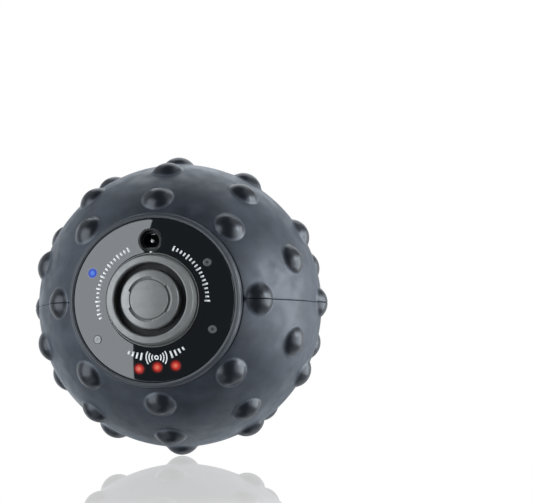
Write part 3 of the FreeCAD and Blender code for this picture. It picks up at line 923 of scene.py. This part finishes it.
def print_patch(outline):
    """A flat printed shape: a closed outline of (x, y), laid on the panel's dome."""
    count = len(outline)
    vertices = []
    for lift in (PRINT_LIFT + PRINT_THICKNESS, PRINT_LIFT):
        for x, y in outline:
            vertices.append(place(x, y, panel_height(math.hypot(x, y)) + lift))
    faces = [tuple(range(count)), tuple(reversed(range(count, 2 * count)))]
    for step in range(count):
        after = (step + 1) % count
        faces.append((step, count + step, count + after, after))
    return vertices, faces


def arc_bar(radius, azimuth, half_height, half_width):
    """A bar standing across an arc about the panel's centre; sizes in mm."""
    corners = ((-1, -1), (1, -1), (1, 1), (-1, 1))
    outline = []
    angle = math.radians(azimuth)
    outward = Vector((math.cos(angle), math.sin(angle)))
    across = Vector((-math.sin(angle), math.cos(angle)))
    for a, b in corners:
        outline.append(tuple(outward * (radius + b * half_height) - across * (a * half_width)))
    return print_patch(outline)


def arc_band(radius, first, last, half_height, centre=(0.0, 0.0), steps=24):
    """A curved band between two azimuths about a centre."""
    outline = []
    for side, order in ((-1, range(steps + 1)), (1, range(steps, -1, -1))):
        for step in order:
            angle = math.radians(first + (last - first) * step / steps)
            r = radius + side * half_height
            outline.append((centre[0] + r * math.cos(angle), centre[1] + r * math.sin(angle)))
    shapes = []
    count = steps + 1
    for step in range(steps):
        inner = outline[step:step + 2]
        outer = [outline[2 * count - 2 - step], outline[2 * count - 1 - step]]
        shapes.append(print_patch([inner[0], outer[1], outer[0], inner[1]]))
    return joined(shapes)


def build_print(material):
    """Generic marks: a level scale, a row of dashes, a vibration sign and a small white bar between the
    socket and the collar.
    """
    shapes = []
    for step in range(20):
        azimuth = 116.0 + step * 4.3
        tall = 1.15 if step % 3 == 0 else 0.75
        shapes.append(arc_bar(22.9, azimuth, tall, 0.36))
    for step in range(17):
        azimuth = -2.0 + step * 4.3
        tall = 1.15 if step % 4 == 0 else 0.75
        shapes.append(arc_bar(22.5, azimuth, tall, 0.36))
    middle = on_panel(23.4, 270.5)
    shapes.append(arc_band(0.7, 0.0, 360.0, 0.27, middle))
    for reach in (1.9, 3.1, 4.3):
        for turn in (0.0, 180.0):
            shapes.append(arc_band(reach, turn - 36.0, turn + 36.0, 0.27, middle, steps=10))
    for step in range(4):
        for side in (-1, 1):
            azimuth = 273.0 + side * (15.5 + step * 4.4)
            shapes.append(arc_bar(23.4, azimuth, 1.5 - 0.25 * step, 0.4))
    shapes.append(arc_bar(19.55, 91.5, 0.3, 0.45))
    vertices, faces = joined(shapes)
    make_piece("panel_print", vertices, faces, material, BALL, weighted=False)


def white_ink():
    """Printed white, slightly uneven."""
    shader = Shader("white ink", (0.86, 0.87, 0.86), 0.45)
    return shader.vary_color(0.6, (0.80, 0.81, 0.80)).add_bump(0.15, 0.003).material


# ---------------------------------------------------------------- light, floor and camera
CAMERA_DISTANCE = 1.196
CAMERA_LENS = 190.5
CAMERA_SENSOR = 36.0
BALL_SHIFT = (-0.03645, -0.02296)      # the ball's centre from the camera's axis, metres right and up
PANEL_YAW = 10.4
PANEL_PITCH = 3.55
PANEL_ROLL = 1.45


def camera_axes():
    """The camera's right, up and back directions, from how the panel is turned in its view."""
    yaw, pitch, roll = (math.radians(a) for a in (PANEL_YAW, PANEL_PITCH, PANEL_ROLL))
    outward = Vector((-math.sin(yaw) * math.cos(pitch), math.sin(pitch), math.cos(yaw) * math.cos(pitch)))
    level = Vector((0, 1, 0)).cross(outward).normalized()
    upright = outward.cross(level)
    right = level * math.cos(roll) + upright * math.sin(roll)
    up = upright * math.cos(roll) - level * math.sin(roll)
    row_axes = Matrix((right, -outward, up))
    return [row_axes @ Vector(v) for v in ((1, 0, 0), (0, 1, 0), (0, 0, 1))]


def build_camera():
    right, up, back = camera_axes()
    camera = bpy.data.cameras.new("camera")
    camera.lens = CAMERA_LENS
    camera.sensor_width = CAMERA_SENSOR
    camera.clip_end = 50.0
    holder = bpy.data.objects.new("camera", camera)
    bpy.context.scene.collection.objects.link(holder)
    position = back * CAMERA_DISTANCE - right * BALL_SHIFT[0] - up * BALL_SHIFT[1]
    turn = Matrix((right, up, back)).transposed().to_4x4()
    holder.matrix_world = Matrix.Translation(position) @ turn
    bpy.context.scene.camera = holder


# Soft boxes: azimuth from straight out of the panel, positive to the right, elevation, width, height,
# roll, radiance. Each faces the ball.
LIGHT_DISTANCE = 0.9
LIGHT_COLOR = (0.925, 0.98, 1.03)
ROOM = (0.13, 0.145, 0.16)
FLOOR_GAP = 0.0002
FLOOR_CENTRE = (0.07, -0.38, 0.0)      # middle of the part of the floor that reflects
FLOOR_HALF_SIZE = 3.0
FLOOR_IOR = 1.33
REFLECTION_LEVEL = 0.49
REFLECTION_FADE = (0.45, 0.65)         # metres from that middle: where the fade starts and ends
WHITE_CONE = (11.0, 16.0)              # degrees from straight behind the ball: white, then the room
LIGHTS = (("left card", -45.0, 3.0, 0.92, 1.24, -6.0, 3.2),
          ("right box", 105.0, 0.0, 0.7, 0.8, 0.0, 4.6),
          ("right front box", 72.0, 0.0, 0.5, 0.8, 0.0, 2.2),
          ("right small box", 88.0, 20.0, 0.32, 0.32, 0.0, 5.5),
          ("back top box", 180.0, 45.0, 0.8, 0.8, 0.0, 1.4),
          ("upper right box", 100.0, 45.0, 0.8, 0.8, 0.0, 0.65),
          ("back right box", 140.0, 0.0, 0.8, 0.8, 0.0, 0.85),
          ("back left box", -135.0, 0.0, 0.8, 0.8, 0.0, 0.85),
          ("low back box", 160.0, -45.0, 0.8, 0.8, 0.0, 0.75),
          ("low left card", -45.0, -50.0, 0.8, 0.8, 0.0, 0.65),
          ("left box", -92.0, 0.0, 0.7, 0.8, 0.0, 0.45),
          ("low right box", 100.0, -45.0, 0.8, 0.8, 0.0, 0.45),
          ("low left box", -135.0, -45.0, 0.8, 0.8, 0.0, 0.4),
          ("upper left box", -105.0, 45.0, 0.8, 0.8, 0.0, 0.4))


def area_light(name, azimuth, elevation, width, height, roll, radiance):
    """A soft box that faces the ball."""
    light = bpy.data.lights.new(name, "AREA")
    light.shape = "RECTANGLE"
    light.size = width
    light.size_y = height
    light.energy = radiance * math.pi * width * height
    light.color = LIGHT_COLOR
    holder = bpy.data.objects.new(name, light)
    bpy.context.scene.collection.objects.link(holder)
    az, el = math.radians(azimuth), math.radians(elevation)
    away = Vector((math.sin(az) * math.cos(el), -math.cos(az) * math.cos(el), math.sin(el)))
    turn = away.to_track_quat("Z", "Y").to_matrix().to_4x4() @ Matrix.Rotation(math.radians(roll), 4, "Z")
    holder.matrix_world = Matrix.Translation(away * LIGHT_DISTANCE) @ turn
    holder.visible_camera = False


def build_lights():
    for light in LIGHTS:
        area_light(*light)


def build_world():
    """White for the camera and behind the ball, where the floor mirrors it; a dim room elsewhere."""
    world = bpy.data.worlds.new("studio")
    bpy.context.scene.world = world
    world.use_nodes = True
    nodes = world.node_tree.nodes
    links = world.node_tree.links
    background = nodes["Background"]
    path = nodes.new("ShaderNodeLightPath")
    coordinates = nodes.new("ShaderNodeTexCoord")
    toward = nodes.new("ShaderNodeVectorMath")
    toward.operation = "DOT_PRODUCT"
    toward.inputs[1].default_value = -camera_axes()[2]
    behind = nodes.new("ShaderNodeMapRange")
    behind.inputs["From Min"].default_value = math.cos(math.radians(WHITE_CONE[1]))
    behind.inputs["From Max"].default_value = math.cos(math.radians(WHITE_CONE[0]))
    larger = nodes.new("ShaderNodeMath")
    larger.operation = "MAXIMUM"
    mix = nodes.new("ShaderNodeMix")
    mix.data_type = "RGBA"
    mix.inputs["A"].default_value = (*ROOM, 1.0)
    mix.inputs["B"].default_value = (1.0, 1.0, 1.0, 1.0)
    links.new(coordinates.outputs["Generated"], toward.inputs[0])
    links.new(toward.outputs["Value"], behind.inputs["Value"])
    links.new(path.outputs["Is Camera Ray"], larger.inputs[0])
    links.new(behind.outputs["Result"], larger.inputs[1])
    links.new(larger.outputs["Value"], mix.inputs["Factor"])
    links.new(mix.outputs["Result"], background.inputs["Color"])


def floor_material():
    """White acrylic with a clear reflection at a grazing view; from below it can't be seen."""
    material = bpy.data.materials.new("white floor")
    material.use_nodes = True
    nodes = material.node_tree.nodes
    links = material.node_tree.links
    nodes.remove(nodes["Principled BSDF"])
    white = nodes.new("ShaderNodeEmission")
    mirror = nodes.new("ShaderNodeBsdfGlossy")
    mirror.inputs["Color"].default_value = (1.0, 1.0, 1.0, 1.0)
    mirror.inputs["Roughness"].default_value = 0.0
    coordinates = nodes.new("ShaderNodeTexCoord")
    distance = nodes.new("ShaderNodeVectorMath")
    distance.operation = "DISTANCE"
    distance.inputs[1].default_value = FLOOR_CENTRE
    fade = nodes.new("ShaderNodeMapRange")
    fade.interpolation_type = "SMOOTHSTEP"
    fade.inputs["From Min"].default_value = REFLECTION_FADE[0]
    fade.inputs["From Max"].default_value = REFLECTION_FADE[1]
    fade.inputs["To Min"].default_value = REFLECTION_LEVEL
    fade.inputs["To Max"].default_value = 0.0
    fresnel = nodes.new("ShaderNodeFresnel")
    fresnel.inputs["IOR"].default_value = FLOOR_IOR
    strength = nodes.new("ShaderNodeMath")
    strength.operation = "MULTIPLY"
    seen = nodes.new("ShaderNodeMixShader")
    side = nodes.new("ShaderNodeNewGeometry")
    clear = nodes.new("ShaderNodeBsdfTransparent")
    mix = nodes.new("ShaderNodeMixShader")
    links.new(coordinates.outputs["Object"], distance.inputs[0])
    links.new(distance.outputs["Value"], fade.inputs["Value"])
    links.new(fresnel.outputs["Fac"], strength.inputs[0])
    links.new(fade.outputs["Result"], strength.inputs[1])
    links.new(strength.outputs["Value"], seen.inputs["Fac"])
    links.new(white.outputs["Emission"], seen.inputs[1])
    links.new(mirror.outputs["BSDF"], seen.inputs[2])
    links.new(side.outputs["Backfacing"], mix.inputs["Fac"])
    links.new(seen.outputs["Shader"], mix.inputs[1])
    links.new(clear.outputs["BSDF"], mix.inputs[2])
    links.new(mix.outputs["Shader"], nodes["Material Output"].inputs["Surface"])
    return material


def build_floor():
    """A large flat floor just under the ball."""
    size = FLOOR_HALF_SIZE
    low = cad_bounds[0][2] - FLOOR_GAP
    vertices = [(-size, -size, 0), (size, -size, 0), (size, size, 0), (-size, size, 0)]
    mesh = bpy.data.meshes.new("floor")
    mesh.from_pydata(vertices, [], [(0, 1, 2, 3)])
    mesh.materials.append(floor_material())
    floor = bpy.data.objects.new("floor", mesh)
    floor.location = (0, 0, low)
    bpy.context.scene.collection.objects.link(floor)
    floor.visible_diffuse = False
    floor.visible_glossy = False
    floor.visible_shadow = False


# ---------------------------------------------------------------- build
def lamp_centres():
    """The middle of each lens on the panel's dome."""
    return [place(x, y, panel_height(math.hypot(x, y))) for x, y in lens_places()]


BLUE = (0.012, 0.06, 0.50)
RED = (0.42, 0.014, 0.009)

centres = lamp_centres()
painted_lamp_glows = [(centres[0], BLUE)] + [(centre, RED) for centre in centres[4:]]
silver = satin_silver("satin grey lacquer", 0.32, 0.42)
hidden = cad_materials()
dress_cad_nodes(hidden)
build_skins(silicone())
build_panel(glossy_panel(painted_lamp_glows))
build_bezel(bezel_plastic())
build_collar(silver)
build_button_ring(silver)
build_button_cap(satin_silver("matt grey lacquer", 0.50, 0.58))
build_lenses({
    "lens_blue": lit_lens("lit blue lens", BLUE, (0.09, 0.24, 0.66), centres[:1]),
    "lens_clear": unlit_lens(centres[1:4]),
    "lens_red": lit_lens("lit red lens", RED, (0.78, 0.20, 0.13), centres[4:]),
})
build_jack(hidden["black_plastic"])
build_spring(hidden["steel"])
build_print(white_ink())
build_camera()
build_lights()
build_world()
build_floor()
bpy.context.scene.view_settings.view_transform = "Standard"
